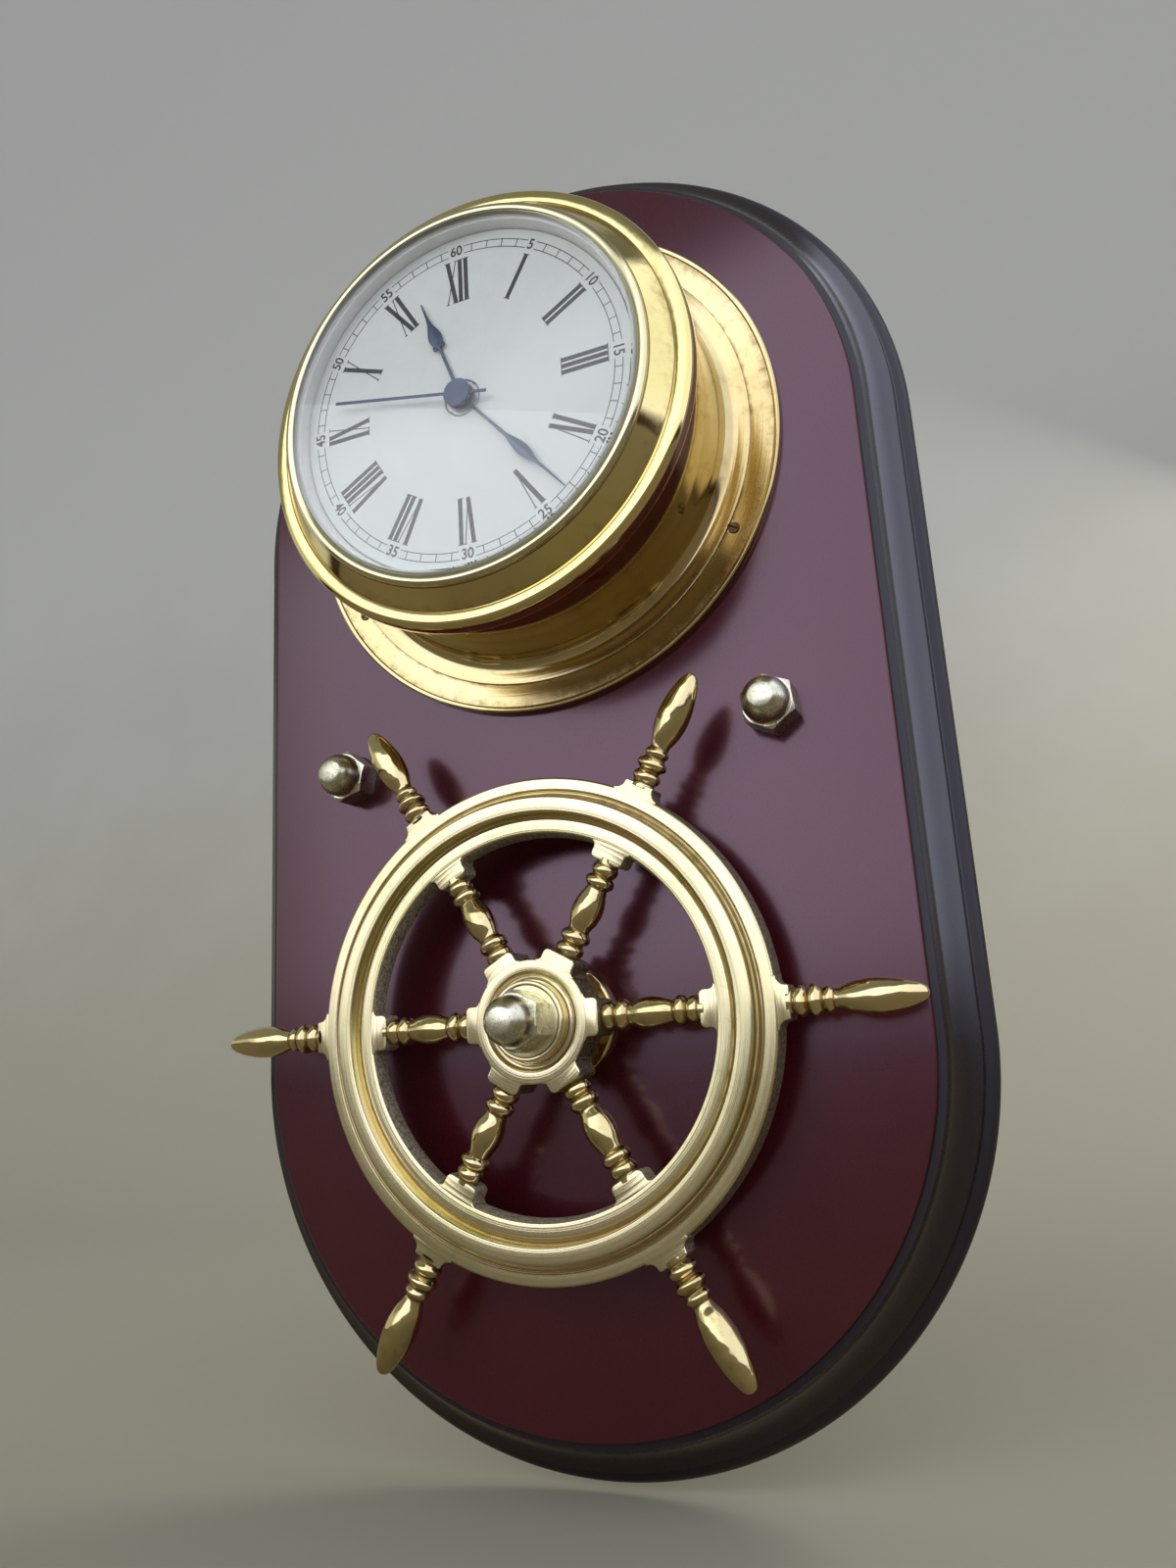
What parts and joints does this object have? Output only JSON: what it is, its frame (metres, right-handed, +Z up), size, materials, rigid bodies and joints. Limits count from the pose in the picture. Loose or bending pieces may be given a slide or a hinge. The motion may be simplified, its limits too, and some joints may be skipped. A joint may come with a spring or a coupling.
{
  "type": "ships deck clock",
  "caption": "Quartz bulkhead clock above a turning ship's wheel, mounted on a moulded oval wall board with domed nuts.",
  "frame": {"origin": "middle of the board's back face, on the wall", "axes": "+Z up the board, +Y into the wall, +X to the viewer's right"},
  "size_m": [0.258, 0.0822, 0.4578],
  "materials": {
    "board_lacquer": "dark red-brown lacquer",
    "wheel_brass": "polished",
    "case_brass": "polished and lacquered",
    "fastener_steel": "zinc plated",
    "nut_plating": "nickel plated",
    "dial_silver": "matt silver-white",
    "reflector_white": "satin",
    "dial_crystal": "bevelled and clear",
    "hand_blue": "dark blue lacquer",
    "movement_plastic": "moulded",
    "gear_plastic": "moulded",
    "movement_metal": "turned",
    "battery_case": "printed steel, plain",
    "circuit_resin": "resin board",
    "coil_copper": "enamelled copper wire"
  },
  "bodies": {
    "plaque": {"plaque_board": "board_lacquer", "side_bolts": "fastener_steel", "dome_nuts": "nut_plating", "wheel_spindle": "fastener_steel", "wheel_post": "wheel_brass", "hub_disc": "wheel_brass", "clock_case": "case_brass", "flange_screws": "fastener_steel", "dial_plate": "dial_silver", "reflector_ring": "reflector_white", "movement_case": "movement_plastic", "movement_cover": "movement_plastic", "movement_bush": "movement_metal", "dial_nut": "movement_metal", "battery": "battery_case", "battery_contacts": "movement_metal", "circuit_board": "circuit_resin", "drive_coil": "coil_copper"},
    "bezel": {"bezel_ring": "case_brass", "dial_glass": "dial_crystal"},
    "ships_wheel": {"wheel_casting": "wheel_brass", "hub_bush": "wheel_brass"},
    "minute": {"minute_hand": "hand_blue", "cannon_pinion": "gear_plastic"},
    "hour": {"hour_hand": "hand_blue", "hour_wheel": "gear_plastic"},
    "second": {"second_hand": "hand_blue", "seconds_arbor": "movement_metal"},
    "motion": {"motion_wheel": "gear_plastic"},
    "setting": {"setting_knob": "movement_plastic"}
  },
  "joints": [
    {"name": "wheel_turn", "type": "hinge", "parent": "plaque", "child": "ships_wheel", "pos_m": [0, 0, -0.0915], "axis": [0, -1, 0], "continuous": true},
    {"name": "bezel_draw", "type": "slide", "parent": "plaque", "child": "bezel", "axis": [0, -1, 0], "range_m": [0, 0.03]},
    {"name": "minute_turn", "type": "hinge", "parent": "plaque", "child": "minute", "pos_m": [0, 0, 0.1025], "axis": [0, 1, 0], "continuous": true},
    {"name": "hour_turn", "type": "hinge", "parent": "plaque", "child": "hour", "pos_m": [0, 0, 0.1025], "axis": [0, 1, 0], "continuous": true},
    {"name": "second_turn", "type": "hinge", "parent": "plaque", "child": "second", "pos_m": [0, 0, 0.1025], "axis": [0, 1, 0], "continuous": true},
    {"name": "motion_turn", "type": "hinge", "parent": "plaque", "child": "motion", "pos_m": [0.0099, 0, 0.1124], "axis": [0, 1, 0], "continuous": true},
    {"name": "setting_turn", "type": "hinge", "parent": "plaque", "child": "setting", "pos_m": [-0.00131, 0, 0.12079], "axis": [0, 1, 0], "continuous": true}
  ],
  "couplings": [
    {"joint": "hour_turn", "follows": "minute_turn", "ratio": 0.083333},
    {"joint": "second_turn", "follows": "minute_turn", "ratio": 60},
    {"joint": "motion_turn", "follows": "minute_turn", "ratio": -0.33333},
    {"joint": "setting_turn", "follows": "minute_turn", "ratio": 1}
  ]
}
